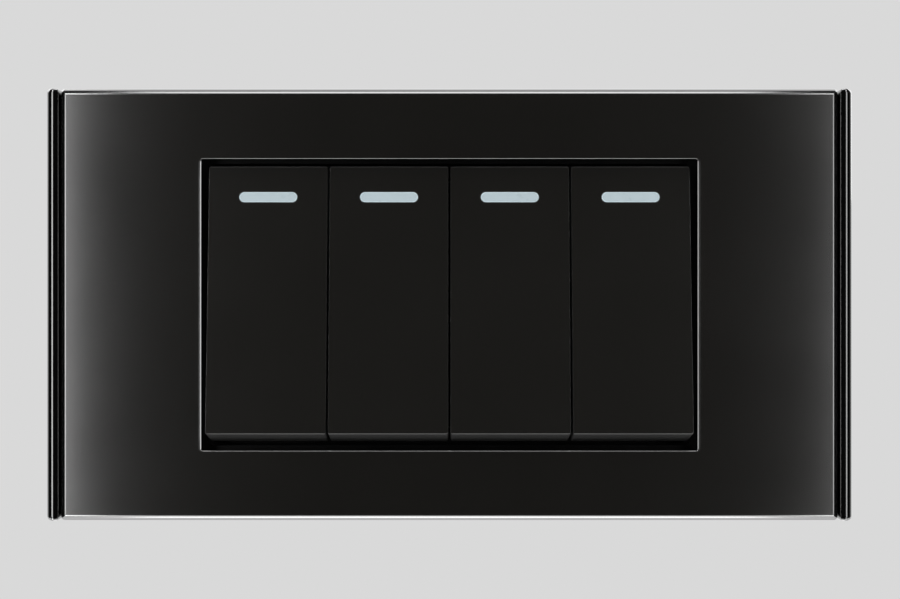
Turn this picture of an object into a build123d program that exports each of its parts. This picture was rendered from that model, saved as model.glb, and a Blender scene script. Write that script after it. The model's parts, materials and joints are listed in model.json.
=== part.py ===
import os
from math import cos, hypot, pi, radians, sin, tan

from build123d import *

# Four-gang light switch for a rectangular wall box, in millimetres.
# X runs across the wall, Y runs into the wall and Z is up. The wall is the plane Y = 0.

# Row of rockers
gang_count = 4
gang_pitch = 22.5
rocker_gap = 0.3
rocker_length = 49.8
rocker_proud = 0.5
rocker_skin = 1.6
rocker_wall = 1.1
rocker_end_draft = 9.0
rocker_edge_radius = 0.15
pivot_depth = 10.0
rest_tilt = 6.0

# Bearing of a rocker in its module cap
pin_radius = 1.5
pin_clearance = 0.05
pin_end_recess = 0.2
ear_thickness = 1.6
ear_wall = 0.7
ear_foot = 8.0
ear_tip = 5.0
cheek_thickness = 1.5
cheek_wall = 0.85
cheek_foot = 7.0
cheek_top = 4.4
throat_width = 2.5
bearing_sides = 8
cheek_side_gap = 0.15
skirt_room = 0.6

# Pale indicator strip let into each rocker
strip_length = 11.0
strip_height = 2.0
strip_inset = 5.8
strip_clearance = 0.03
strip_proud = 0.1
strip_rim = 1.0
strip_rim_thickness = 0.8

# Sprung plunger in the rocker's barrel
plunger_width = 4.0
plunger_clearance = 0.08
plunger_reach = 16.0
plunger_tail = 0.2
plunger_boss_width = 1.6
plunger_boss_length = 1.8
nose_radius = 0.8
nose_slope = 30.0
barrel_wall = 1.0
barrel_floor = 1.0
barrel_reach = 6.0
spring_wire = 0.5
spring_turns = 3
spring_runs = 8
spring_clearance = 0.2

# Front plate
plate_depth = 9.0
plate_side_border = 26.15
plate_end_border = 12.95
plate_wall = 2.2
plate_edge_radius = 1.05
opening_side_gap = 1.1
opening_end_gap = 0.22
opening_edge_radius = 0.35
collar_wall = 1.4

# Slim strips beside the plate, rounded outside and sloping to the plate, with a foot under it
trim_gap = 0.3
trim_width = 2.33
trim_depth = 9.3
trim_fall = 0.25
trim_round = 1.25
trim_end_radius = 0.75
foot_reach = 5.3
foot_thickness = 1.8
tongue_length = 5.0
tongue_width = 12.0
tongue_thickness = 1.0
tongue_spacing = 48.0
riser_thickness = 1.3

# Support frame that is screwed to the wall box and carries the modules
frame_thickness = 3.0
frame_edge_gap = 0.5
frame_end_gap = 0.27
frame_corner_cut = 2.0
well_side_gap = 0.65
well_end_gap = 0.42
well_corner_radius = 1.2
well_wall = 2.5
lip_room = 1.6
lip_thickness = 1.8
slot_offset = 8.05
slot_width = 4.0
slot_length = 8.0
peg_width = 2.4
peg_clearance = 0.1
peg_offset = 3.0

# Clips that hold the plate on the frame
clip_offset = 10.0
clip_spacing = 52.0
clip_width = 6.0
clip_thickness = 1.4
clip_nose = 0.7
clip_clearance = 0.25
clip_ledge = 1.6
clip_play = 0.1

# Switch module: cap in front, base behind
base_length = 44.4
base_wall = 1.4
base_floor = 1.6
base_room = 6.4
base_chamfer = 0.5
cap_thickness = 1.8
cap_lap = 2.4
ear_room = 0.3
cap_hole_gap = 0.5
window_gap = 1.4
boss_clearance = 0.3
hook_width = 8.0
hook_thickness = 1.0
hook_nose = 0.7
hook_height = 0.8
hook_play = 0.05
rim_thickness = 1.0
rim_height = 1.2
rim_clearance = 0.1
loop_width = 6.0
loop_length = 4.6
loop_thickness = 1.1
loop_clearance = 0.12
nub_width = 3.6
nub_length = 1.4
nub_setback = 1.8
nub_height = 0.6

# Contact set of a module
blade_width = 6.0
blade_thickness = 0.8
blade_arm = 11.0
blade_tilt = 8.0
blade_bend_radius = 0.3
blade_ear_length = 1.2
blade_ear_angle = 30.0
saddle_slope = 20.0
saddle_clearance = 0.05
nose_gap = 0.1
contact_width = 2.6
contact_arm = 9.0
moving_contact_height = 0.6
fixed_contact_height = 0.8
contact_gap = 0.05
stop_width = 0.8
stop_length = 1.2
stop_arm = 9.0

# Brass terminals and their screws
block_width = 7.0
block_length = 7.0
block_front = 3.0
block_back = 4.5
wire_width = 4.4
wire_depth = 5.8
wire_window_gap = 0.2
strip_metal_width = 4.0
strip_metal_thickness = 1.0
common_strip_gap = 0.8
fork_thickness = 1.0
fork_side_gap = 0.3
fork_length = 4.0
tongue_end = 2.6
guide_thickness = 1.0
guide_clearance = 0.1
screw_radius = 1.5
screw_clearance = 0.05
screw_hole_sides = 12
screw_tip_gap = 0.2
screw_length = 4.0
screw_slot_width = 0.7
screw_slot_depth = 0.8
screw_window_gap = 0.5

# Sizes that follow
rocker_width = gang_pitch - rocker_gap
row_width = gang_count * gang_pitch - rocker_gap
module_width = gang_pitch
pivot_y = pivot_depth - plate_depth - rocker_proud
cheek_reach = pin_radius + pin_clearance + cheek_wall
rocker_skirt = pivot_depth - cheek_reach - skirt_room
skirt_v = rocker_skirt - pivot_depth
skirt_flare = rocker_skirt * tan(radians(rocker_end_draft))
skirt_half_length = rocker_length / 2 + skirt_flare
sweep_radius = hypot(rocker_length / 2, pivot_depth)
skirt_radius = hypot(skirt_half_length, skirt_v)
skirt_reach = skirt_half_length * sin(radians(rest_tilt)) + skirt_v * cos(radians(rest_tilt))

opening_width = row_width + 2 * opening_side_gap
opening_height = 2 * (sweep_radius + opening_end_gap)
plate_width = opening_width + 2 * plate_side_border
plate_height = opening_height + 2 * plate_end_border
plate_inner_y = plate_wall - plate_depth

frame_width = plate_width + 2 * (trim_gap - foot_reach - frame_end_gap)
frame_height = plate_height - 2 * (plate_wall + frame_edge_gap)
well_width = row_width + 2 * well_side_gap
well_height = 2 * (skirt_radius + well_end_gap)
slot_spacing = opening_width + 2 * slot_offset
clip_x = opening_width / 2 + clip_offset
clip_z = clip_spacing / 2
foot_x = plate_width / 2 + trim_gap - foot_reach
tongue_z = tongue_spacing / 2
peg_x = foot_x - tongue_length / 2

lip_front_y = pivot_y + skirt_reach + lip_room
cap_front_y = lip_front_y + lip_thickness
cap_back_y = cap_front_y + cap_thickness
cap_boss = cap_front_y - pivot_y - pin_radius - ear_wall - ear_room
window_length = base_length + 2 * window_gap
window_width = gang_count * module_width + 2 * boss_clearance
boss_length = window_length - 2 * boss_clearance
cap_length = window_length + 2 * cap_lap
cheek_outer_x = module_width / 2
cheek_inner_x = cheek_outer_x - cheek_thickness
ear_outer_x = cheek_inner_x - cheek_side_gap
ear_inner_x = ear_outer_x - ear_thickness
pin_length = cheek_side_gap + cheek_thickness - pin_end_recess

barrel_bore = plunger_width + 2 * plunger_clearance
barrel_width = barrel_bore + 2 * barrel_wall
skin_back = rocker_skin - pivot_depth
bore_floor = skin_back + barrel_floor
spring_radius = barrel_bore / 2 - spring_clearance - spring_wire / 2
spring_length = plunger_tail - bore_floor - spring_wire
strip_offset = rocker_length / 2 - strip_inset

hinge_y = pivot_y + plunger_reach + nose_gap - blade_bend_radius
blade_back_radius = blade_bend_radius + blade_thickness
blade_y = hinge_y + blade_bend_radius + blade_thickness / 2
base_floor_y = blade_y + base_room
base_back_y = base_floor_y + base_floor
cavity_width = module_width - 2 * base_wall
cavity_length = base_length - 2 * base_wall
block_z = cavity_length / 2 - block_length / 2
block_front_y = blade_y - block_front
block_back_y = blade_y + block_back
common_strip_y = blade_y + blade_thickness / 2 + common_strip_gap
moving_contact_y = blade_y + blade_thickness / 2 + moving_contact_height
fixed_contact_y = moving_contact_y + contact_gap
tongue_y = fixed_contact_y + fixed_contact_height
fork_inner_x = blade_width / 2 + fork_side_gap
fork_outer_x = fork_inner_x + fork_thickness
screw_tip_y = blade_y + wire_width / 2 + screw_tip_gap
screw_end_y = screw_tip_y + screw_length


def facing_front(y):
    """Plane parallel to the wall at depth y; a positive extrusion runs out of the wall."""
    return Plane.XZ.offset(-y)


def rocker_half_length(v):
    """Half of the rocker's height at v, measured from the pivot into the wall."""
    return rocker_length / 2 + (v + pivot_depth) * tan(radians(rocker_end_draft))


# Front plate: a shallow shell with a collar round the opening and four clips behind
with BuildPart() as face_plate:
    with BuildSketch(facing_front(0)):
        Rectangle(plate_width, plate_height)
    extrude(amount=plate_depth)
    fillet(faces().sort_by(Axis.Y)[0].edges(), plate_edge_radius)
    with BuildSketch(facing_front(0)):
        Rectangle(plate_width - 2 * plate_wall, plate_height - 2 * plate_wall)
        Rectangle(opening_width + 2 * collar_wall, opening_height + 2 * collar_wall, mode=Mode.SUBTRACT)
    extrude(amount=plate_depth - plate_wall, mode=Mode.SUBTRACT)
    with BuildSketch(facing_front(0)):
        Rectangle(opening_width + 2 * collar_wall, opening_height + 2 * collar_wall)
    extrude(amount=frame_thickness, mode=Mode.SUBTRACT)
    with BuildSketch(facing_front(0)):
        Rectangle(opening_width, opening_height)
    extrude(amount=plate_depth, mode=Mode.SUBTRACT)
    front_rim = faces().sort_by(Axis.Y)[0].inner_wires()[0]
    fillet(front_rim.edges(), opening_edge_radius)
    # The plate stops short of the wall over the feet of the trims.
    foot_cover = plate_width / 2 - foot_x + frame_end_gap
    with BuildSketch(facing_front(0)):
        with GridLocations(plate_width - foot_cover, 0, 2, 1):
            Rectangle(foot_cover, plate_height)
    extrude(amount=foot_thickness, mode=Mode.SUBTRACT)
    # Clips reach through the frame and hook behind its ledges.
    for side_x in (-1, 1):
        with BuildSketch(Plane.YZ.offset(side_x * clip_x)):
            for side_z in (-1, 1):
                inner_z = side_z * (clip_z - clip_thickness / 2)
                outer_z = side_z * (clip_z + clip_thickness / 2)
                nose_z = outer_z + side_z * clip_nose
                latch_y = clip_play - clip_ledge
                with BuildLine():
                    Polyline(
                        (plate_inner_y, inner_z),
                        (-clip_clearance, inner_z),
                        (-clip_clearance, outer_z),
                        (latch_y, nose_z),
                        (latch_y, outer_z),
                        (plate_inner_y, outer_z),
                        close=True,
                    )
                make_face()
        extrude(amount=clip_width / 2, both=True)

# Trims: a bar with one round edge, a foot under the plate and two tongues over the frame
trims = {}
for side_name, side in (("left", -1), ("right", 1)):
    with BuildPart() as side_trim:
        bar_inner = side * (plate_width / 2 + trim_gap)
        bar_outer = bar_inner + side * trim_width
        with BuildSketch(Plane.XY.offset(-plate_height / 2)):
            with BuildLine():
                Polyline(
                    (bar_inner, trim_fall - trim_depth),
                    (bar_inner, 0),
                    (bar_outer, 0),
                    (bar_outer, -trim_depth),
                    close=True,
                )
            make_face()
            fillet(vertices().sort_by(Axis.Y)[0], trim_round)
        extrude(amount=plate_height)
        with BuildSketch(facing_front(0)):
            with Locations((bar_inner + side * trim_width / 2, 0)):
                Rectangle(trim_width, plate_height)
            fillet(vertices(), trim_end_radius)
        extrude(amount=trim_depth, mode=Mode.INTERSECT)
        with BuildSketch(facing_front(0)):
            with Locations((side * (foot_x + foot_reach / 2), 0)):
                Rectangle(foot_reach, plate_height)
        extrude(amount=foot_thickness)
        with BuildSketch(Plane.XY):
            with BuildLine():
                Polyline(
                    (side * foot_x, -foot_thickness / 2),
                    (side * foot_x, -frame_thickness),
                    (side * (foot_x - tongue_length), -frame_thickness),
                    (side * (foot_x - tongue_length), -frame_thickness - tongue_thickness),
                    (side * (foot_x + riser_thickness), -frame_thickness - tongue_thickness),
                    (side * (foot_x + riser_thickness), -foot_thickness / 2),
                    close=True,
                )
            make_face()
        tongue = extrude(amount=tongue_width / 2, both=True, mode=Mode.PRIVATE)
        for tongue_side in (-1, 1):
            add(tongue.moved(Location((0, 0, tongue_side * tongue_z))))
        with BuildSketch(facing_front(-frame_thickness)):
            with Locations((side * peg_x, tongue_z - peg_offset), (side * peg_x, peg_offset - tongue_z)):
                Rectangle(peg_width + 2 * peg_clearance, peg_width + 2 * peg_clearance)
        extrude(amount=tongue_thickness, mode=Mode.SUBTRACT)
    trims[side_name] = side_trim

# Support frame: a flange on the wall, a well round the rockers and lips that carry the modules
with BuildPart() as support_frame:
    with BuildSketch(facing_front(0)):
        Rectangle(frame_width, frame_height)
        chamfer(vertices(), frame_corner_cut)
    extrude(amount=frame_thickness)
    with BuildSketch(facing_front(0)):
        Rectangle(well_width + 2 * well_wall, well_height + 2 * well_wall)
    extrude(amount=-cap_front_y)
    with BuildSketch(facing_front(lip_front_y)):
        RectangleRounded(well_width, well_height, well_corner_radius)
    extrude(amount=lip_front_y + frame_thickness, mode=Mode.SUBTRACT)
    with BuildSketch(facing_front(cap_front_y)):
        Rectangle(window_width, window_length)
    extrude(amount=lip_thickness, mode=Mode.SUBTRACT)
    with BuildSketch(facing_front(0)):
        with GridLocations(slot_spacing, 0, 2, 1):
            SlotOverall(slot_length, slot_width)
    extrude(amount=frame_thickness, mode=Mode.SUBTRACT)
    # Each clip window is deeper behind, which leaves a ledge for the clip's nose.
    window_reach = clip_thickness + 2 * clip_clearance
    with BuildSketch(facing_front(0)):
        with GridLocations(2 * clip_x, clip_spacing, 2, 2):
            Rectangle(clip_width + 2 * clip_clearance, window_reach)
    extrude(amount=frame_thickness, mode=Mode.SUBTRACT)
    with BuildSketch(facing_front(0)):
        with GridLocations(2 * clip_x, clip_spacing + 2 * clip_nose, 2, 2):
            Rectangle(clip_width + 2 * clip_clearance, window_reach)
    extrude(amount=clip_ledge, mode=Mode.SUBTRACT)
    with BuildSketch(facing_front(-frame_thickness)):
        with GridLocations(2 * peg_x, tongue_spacing - 2 * peg_offset, 2, 2):
            Rectangle(peg_width, peg_width)
    extrude(amount=tongue_thickness)

# Rocker, built level about its pivot: a drafted hollow key with ears, pins and a barrel
with BuildPart() as rocker:
    front_half = rocker_length / 2
    with BuildSketch(Plane.YZ):
        with BuildLine():
            Polyline(
                (-pivot_depth, -front_half),
                (-pivot_depth, front_half),
                (skirt_v, skirt_half_length),
                (skirt_v, -skirt_half_length),
                close=True,
            )
        make_face()
    extrude(amount=rocker_width / 2, both=True)
    fillet(faces().sort_by(Axis.Y)[0].edges(), rocker_edge_radius)
    inner_front = rocker_half_length(skin_back) - rocker_wall
    inner_back = skirt_half_length - rocker_wall
    with BuildSketch(Plane.YZ):
        with BuildLine():
            Polyline(
                (skin_back, -inner_front),
                (skin_back, inner_front),
                (skirt_v, inner_back),
                (skirt_v, -inner_back),
                close=True,
            )
        make_face()
    extrude(amount=rocker_width / 2 - rocker_wall, both=True, mode=Mode.SUBTRACT)
    for side in (-1, 1):
        with BuildSketch(Plane.YZ.offset(side * ear_inner_x)):
            with BuildLine():
                Polyline(
                    (skin_back, -ear_foot / 2),
                    (skin_back, ear_foot / 2),
                    (pin_radius + ear_wall, ear_tip / 2),
                    (pin_radius + ear_wall, -ear_tip / 2),
                    close=True,
                )
            make_face()
        extrude(amount=side * ear_thickness)
        with BuildSketch(Plane.YZ.offset(side * ear_outer_x)):
            Circle(pin_radius)
        extrude(amount=side * pin_length)
    with BuildSketch(facing_front(skin_back)):
        Rectangle(barrel_width, barrel_width)
    extrude(amount=skin_back - barrel_reach)
    with BuildSketch(facing_front(barrel_reach)):
        Rectangle(barrel_bore, barrel_bore)
    extrude(amount=barrel_reach - bore_floor, mode=Mode.SUBTRACT)
    with BuildSketch(facing_front(skin_back)):
        with Locations((0, strip_offset)):
            SlotOverall(strip_length + 2 * strip_clearance, strip_height + 2 * strip_clearance)
    extrude(amount=rocker_skin, mode=Mode.SUBTRACT)

# Indicator strip: a pill flush with the rocker and a rim behind its skin
with BuildPart() as indicator_strip:
    with BuildSketch(facing_front(skin_back)):
        with Locations((0, strip_offset)):
            SlotOverall(strip_length, strip_height)
    extrude(amount=rocker_skin + strip_proud)
    with BuildSketch(facing_front(skin_back)):
        with Locations((0, strip_offset)):
            Rectangle(strip_length + 2 * strip_rim, strip_height + 2 * strip_rim)
    extrude(amount=-strip_rim_thickness)

# Plunger: a square slider with a rounded wedge for a nose and a tail that centres the spring
with BuildPart() as plunger:
    half_plunger = plunger_width / 2
    nose_centre = plunger_reach - nose_radius
    tip_y = nose_centre + nose_radius * sin(radians(nose_slope))
    tip_z = nose_radius * cos(radians(nose_slope))
    nose_start = tip_y - (half_plunger - tip_z) / tan(radians(nose_slope))
    with BuildSketch(Plane.YZ):
        with BuildLine():
            Polyline(
                (tip_y, -tip_z),
                (nose_start, -half_plunger),
                (plunger_tail, -half_plunger),
                (plunger_tail, half_plunger),
                (nose_start, half_plunger),
                (tip_y, tip_z),
            )
            ThreePointArc((tip_y, tip_z), (plunger_reach, 0), (tip_y, -tip_z))
        make_face()
    extrude(amount=half_plunger, both=True)
    with BuildSketch(facing_front(plunger_tail)):
        Rectangle(plunger_boss_width, plunger_boss_width)
    extrude(amount=plunger_boss_length)

# Coil spring between the barrel's floor and the plunger's shoulder, of short straight runs
with BuildPart() as plunger_spring:
    coil_steps = spring_turns * spring_runs
    coil_points = [
        Vector(
            spring_radius * cos(2 * pi * step / spring_runs),
            bore_floor + spring_wire / 2 + spring_length * step / coil_steps,
            spring_radius * sin(2 * pi * step / spring_runs),
        )
        for step in range(coil_steps + 1)
    ]
    with BuildLine() as coil:
        Polyline(*coil_points)
    with BuildSketch(Plane(origin=coil_points[0], x_dir=(1, 0, 0), z_dir=coil.line % 0)):
        Rectangle(spring_wire, spring_wire)
    sweep(path=coil.line, transition=Transition.RIGHT)

# Contact blade, built level about its hinge: a shallow V whose lowered arm lies along the wall


def on_bend(radius, angle, along=0.0):
    """Point of the blade's profile at a radius and angle about its hinge, moved along the arm."""
    turn = radians(angle)
    reach = along if angle > 0 else -along
    return (radius * cos(turn) - reach * sin(turn), radius * sin(turn) + reach * cos(turn))


with BuildPart() as contact_blade:
    inner, outer = blade_bend_radius, blade_back_radius
    valley = inner / cos(radians(blade_tilt))
    with BuildSketch(Plane.YZ):
        with BuildLine():
            Polyline(
                on_bend(outer, -blade_tilt),
                on_bend(outer, -blade_tilt, blade_arm),
                on_bend(inner, -blade_tilt, blade_arm),
                (valley, 0),
                on_bend(inner, blade_tilt, blade_arm),
                on_bend(outer, blade_tilt, blade_arm),
                on_bend(outer, blade_tilt),
            )
            ThreePointArc(on_bend(outer, blade_tilt), (outer, 0), on_bend(outer, -blade_tilt))
        make_face()
    extrude(amount=blade_width / 2, both=True)
    ear_y, ear_z = on_bend(outer, blade_ear_angle)
    for side in (-1, 1):
        with BuildSketch(Plane.YZ.offset(side * blade_width / 2)):
            with BuildLine():
                Polyline((ear_y, ear_z), (valley, ear_z), (valley, -ear_z), (ear_y, -ear_z))
                ThreePointArc((ear_y, -ear_z), (outer, 0), (ear_y, ear_z))
            make_face()
        extrude(amount=side * blade_ear_length)

# Silver contact on the back of the blade's upper arm
with BuildPart() as moving_contact:
    contact_at = on_bend(blade_back_radius, blade_tilt, contact_arm)
    arm_normal = (0, cos(radians(blade_tilt)), sin(radians(blade_tilt)))
    with BuildSketch(Plane(origin=(0, *contact_at), x_dir=(1, 0, 0), z_dir=arm_normal)):
        Rectangle(contact_width, contact_width)
    extrude(amount=moving_contact_height)

# Silver contact on the switched terminal's tongue
with BuildPart() as fixed_contact:
    with BuildSketch(facing_front(tongue_y)):
        with Locations((0, contact_arm)):
            Rectangle(contact_width, contact_width)
    extrude(amount=fixed_contact_height)

# Terminals: a block with a wire tunnel, and a forked strip below or a contact tongue above
terminals = {}
for terminal_name, end in (("common_terminal", -1), ("switched_terminal", 1)):
    with BuildPart() as terminal:
        with BuildSketch(facing_front(block_back_y)):
            with Locations((0, end * block_z)):
                Rectangle(block_width, block_length)
        extrude(amount=block_front + block_back)
        block_inner = block_z - block_length / 2
        with BuildSketch(Plane.XY.offset(end * cavity_length / 2)):
            with Locations((0, blade_y)):
                Rectangle(wire_width, wire_width)
        extrude(amount=-end * wire_depth, mode=Mode.SUBTRACT)
        with BuildSketch(facing_front(block_back_y)):
            with Locations((0, end * block_z)):
                RegularPolygon(screw_radius + screw_clearance, screw_hole_sides, major_radius=False)
        extrude(amount=block_back, mode=Mode.SUBTRACT)
        if end < 0:
            strip_end = fork_length / 2
            with BuildSketch(facing_front(common_strip_y)):
                with Locations((0, (strip_end - block_inner) / 2)):
                    Rectangle(strip_metal_width, block_inner + strip_end)
                Rectangle(2 * fork_outer_x, fork_length)
            extrude(amount=-strip_metal_thickness)
            # The blade's round ears rock in a shallow V.
            saddle_y = hinge_y + (blade_back_radius + saddle_clearance) / cos(radians(saddle_slope))
            fork_front_y = saddle_y - strip_end * tan(radians(saddle_slope))
            for side in (-1, 1):
                with BuildSketch(Plane.YZ.offset(side * fork_inner_x)):
                    with BuildLine():
                        Polyline(
                            (common_strip_y, -strip_end),
                            (fork_front_y, -strip_end),
                            (saddle_y, 0),
                            (fork_front_y, strip_end),
                            (common_strip_y, strip_end),
                            close=True,
                        )
                    make_face()
                extrude(amount=side * fork_thickness)
        else:
            tongue_low = contact_arm - tongue_end
            with BuildSketch(facing_front(tongue_y)):
                with Locations((0, (block_inner + tongue_low) / 2)):
                    Rectangle(strip_metal_width, block_inner - tongue_low)
            extrude(amount=-strip_metal_thickness)
    terminals[terminal_name] = terminal

# Terminal screw: a slotted grub screw, backed out so that the wire tunnel is open
with BuildPart() as terminal_screw:
    with BuildSketch(facing_front(screw_end_y)):
        Circle(screw_radius)
    extrude(amount=screw_length)
    with BuildSketch(facing_front(screw_end_y)):
        Rectangle(2 * screw_radius, screw_slot_width)
    extrude(amount=screw_slot_depth, mode=Mode.SUBTRACT)

# Module cap: rocker bearings, hooks that snap over the frame's lips and loops for the base
with BuildPart() as module_cap:
    with BuildSketch(facing_front(cap_back_y)):
        Rectangle(module_width, cap_length)
    extrude(amount=cap_thickness)
    with BuildSketch(facing_front(cap_front_y)):
        Rectangle(module_width, boss_length)
    extrude(amount=cap_boss)
    latch_y = lip_front_y - hook_play
    with BuildSketch(Plane.YZ):
        for side in (-1, 1):
            stem_outer = side * boss_length / 2
            stem_inner = stem_outer - side * hook_thickness
            nose_tip = side * (window_length / 2 + hook_nose)
            with BuildLine():
                Polyline(
                    (cap_front_y, stem_inner),
                    (latch_y - hook_height, stem_inner),
                    (latch_y - hook_height, stem_outer),
                    (latch_y - hook_height / 2, nose_tip),
                    (latch_y, nose_tip),
                    (latch_y, stem_outer),
                    (cap_front_y, stem_outer),
                    close=True,
                )
            make_face()
    extrude(amount=hook_width / 2, both=True)
    for side in (-1, 1):
        with BuildSketch(Plane.YZ.offset(side * cheek_inner_x)):
            with BuildLine():
                Polyline(
                    (cap_front_y, -cheek_foot / 2),
                    (cap_front_y, cheek_foot / 2),
                    (pivot_y - cheek_reach, cheek_top / 2),
                    (pivot_y - cheek_reach, -cheek_top / 2),
                    close=True,
                )
            make_face()
            # The pin snaps in through a throat that is narrower than itself.
            with Locations((pivot_y, 0)):
                RegularPolygon(
                    pin_radius + pin_clearance,
                    bearing_sides,
                    major_radius=False,
                    rotation=180 / bearing_sides,
                    mode=Mode.SUBTRACT,
                )
            with Locations((pivot_y - cheek_reach / 2, 0)):
                Rectangle(cheek_reach, throat_width, mode=Mode.SUBTRACT)
        extrude(amount=side * cheek_thickness)
    # The barrel swings through this hole.
    barrel_swing = (cap_back_y + rim_height - pivot_y) * tan(radians(rest_tilt))
    with BuildSketch(facing_front(cap_back_y)):
        Rectangle(barrel_width + 2 * cap_hole_gap, barrel_width + 2 * (barrel_swing + cap_hole_gap))
    extrude(amount=cap_thickness + cap_boss, mode=Mode.SUBTRACT)
    with BuildSketch(facing_front(cap_back_y)):
        rim_width = cavity_width - 2 * rim_clearance
        rim_length = cavity_length - 2 * rim_clearance
        Rectangle(rim_width, rim_length)
        Rectangle(rim_width - 2 * rim_thickness, rim_length - 2 * rim_thickness, mode=Mode.SUBTRACT)
    extrude(amount=-rim_height)
    # Loops snap over the nubs on the base's ends.
    for side in (-1, 1):
        loop_inner = base_length / 2 + loop_clearance
        with BuildSketch(Plane.XY.offset(side * loop_inner)):
            with Locations((0, cap_back_y + loop_length / 2)):
                Rectangle(loop_width, loop_length)
            with Locations((0, cap_back_y + nub_setback + nub_length / 2)):
                Rectangle(
                    nub_width + 2 * loop_clearance, nub_length + 2 * loop_clearance, mode=Mode.SUBTRACT
                )
        extrude(amount=side * loop_thickness)

# Module base: the rear housing with seats for the terminals, posts and access holes
with BuildPart() as module_base:
    with BuildSketch(facing_front(cap_back_y)):
        Rectangle(module_width, base_length)
    extrude(amount=cap_back_y - base_back_y)
    chamfer(faces().sort_by(Axis.Y)[-1].edges(), base_chamfer)
    with BuildSketch(facing_front(cap_back_y)):
        Rectangle(cavity_width, cavity_length)
    extrude(amount=cap_back_y - base_floor_y, mode=Mode.SUBTRACT)
    # Pads and guides seat the terminal blocks.
    with BuildSketch(facing_front(base_floor_y)):
        with GridLocations(0, 2 * block_z, 1, 2):
            Rectangle(block_width, block_length)
    extrude(amount=base_floor_y - block_back_y)
    with BuildSketch(facing_front(base_floor_y)):
        guide_x = block_width / 2 + guide_clearance + guide_thickness / 2
        with GridLocations(2 * guide_x, 2 * block_z, 2, 2):
            Rectangle(guide_thickness, block_length)
    extrude(amount=base_floor_y - block_front_y)
    # Pillars carry the fork and the contact tongue, and two posts stop the lowered arm.
    with BuildSketch(facing_front(base_floor_y)):
        Rectangle(strip_metal_width, fork_length)
    extrude(amount=base_floor_y - common_strip_y - strip_metal_thickness)
    with BuildSketch(facing_front(base_floor_y)):
        with Locations((0, contact_arm)):
            Rectangle(strip_metal_width, tongue_end)
    extrude(amount=base_floor_y - tongue_y - strip_metal_thickness)
    stop_y = blade_y + blade_thickness / 2 + contact_gap
    with BuildSketch(facing_front(base_floor_y)):
        with Locations((0, -stop_arm)):
            with GridLocations(blade_width - stop_width, 0, 2, 1):
                Rectangle(stop_width, stop_length)
    extrude(amount=base_floor_y - stop_y)
    # Windows let the wires in at the ends and a screwdriver in from behind.
    window = wire_width + 2 * wire_window_gap
    for side in (-1, 1):
        with BuildSketch(Plane.XY.offset(side * base_length / 2)):
            with Locations((0, blade_y)):
                Rectangle(window, window)
        extrude(amount=-side * base_wall, mode=Mode.SUBTRACT)
    with BuildSketch(facing_front(base_back_y)):
        with GridLocations(0, 2 * block_z, 1, 2):
            Rectangle(2 * (screw_radius + screw_window_gap), 2 * (screw_radius + screw_window_gap))
    extrude(amount=base_back_y - block_back_y, mode=Mode.SUBTRACT)
    for side in (-1, 1):
        with BuildSketch(Plane.XY.offset(side * base_length / 2)):
            with Locations((0, cap_back_y + nub_setback + nub_length / 2)):
                Rectangle(nub_width, nub_length)
        extrude(amount=side * nub_height)

# Writing: each gang gets its own copies, and the rockers rest with their lower ends out
level = Location((0, 0, 0))
rocker_rest = Location((0, pivot_y, 0), (-rest_tilt, 0, 0))
blade_rest = Location((0, hinge_y, 0), (blade_tilt, 0, 0))
gang_pieces = (
    ("rocker", rocker, rocker_rest),
    ("indicator_strip", indicator_strip, rocker_rest),
    ("plunger", plunger, rocker_rest),
    ("plunger_spring", plunger_spring, rocker_rest),
    ("contact_blade", contact_blade, blade_rest),
    ("moving_contact", moving_contact, blade_rest),
    ("common_terminal", terminals["common_terminal"], level),
    ("switched_terminal", terminals["switched_terminal"], level),
    ("module_cap", module_cap, level),
    ("module_base", module_base, level),
)
gang_places = [
    Location(((gang - (gang_count - 1) / 2) * gang_pitch, 0, 0)) for gang in range(gang_count)
]


def write(piece, label):
    """Names a finished piece and writes it as a STEP file."""
    piece.label = label
    export_step(piece, f"parts/{label}.step")


os.makedirs("parts", exist_ok=True)
write(face_plate.part, "face_plate")
write(support_frame.part, "support_frame")
for side_name, side_trim in trims.items():
    write(side_trim.part, f"side_trim_{side_name}")
for number, place in enumerate(gang_places, start=1):
    for piece_name, piece, rest in gang_pieces:
        write(piece.part.moved(place * rest), f"{piece_name}_{number}")
screw_ends = [Location((0, 0, end * block_z)) for end in (-1, 1)]
screws = [terminal_screw.part.moved(place * end) for place in gang_places for end in screw_ends]
write(Compound(children=screws), "terminal_screws")
contacts = [fixed_contact.part.moved(place) for place in gang_places]
write(Compound(children=contacts), "fixed_contacts")
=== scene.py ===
"""Dresses a four-gang light switch: gloss black plate, trims, rockers and pale strips in a small studio."""

import json
import math

import bmesh
import bpy
import numpy as np
from bpy.props import FloatProperty, FloatVectorProperty, PointerProperty
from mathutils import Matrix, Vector


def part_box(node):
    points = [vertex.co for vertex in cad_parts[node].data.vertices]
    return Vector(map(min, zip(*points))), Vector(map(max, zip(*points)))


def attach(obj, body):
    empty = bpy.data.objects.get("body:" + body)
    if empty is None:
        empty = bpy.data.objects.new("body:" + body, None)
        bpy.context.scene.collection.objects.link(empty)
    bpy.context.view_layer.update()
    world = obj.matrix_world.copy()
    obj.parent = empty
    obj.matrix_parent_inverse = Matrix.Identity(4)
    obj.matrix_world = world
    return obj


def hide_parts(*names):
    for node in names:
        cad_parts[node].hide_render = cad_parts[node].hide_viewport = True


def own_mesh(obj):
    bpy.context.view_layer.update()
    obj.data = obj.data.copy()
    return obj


bl_info = {
    "name": "Four-gang light switch",
    "version": (1, 0, 0),
    "blender": (4, 5, 0),
    "location": "View3D > Sidebar > Switch",
    "description": "Builds the gloss surfaces, finishes and studio of a four-gang wall switch",
    "category": "Object",
}

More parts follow.
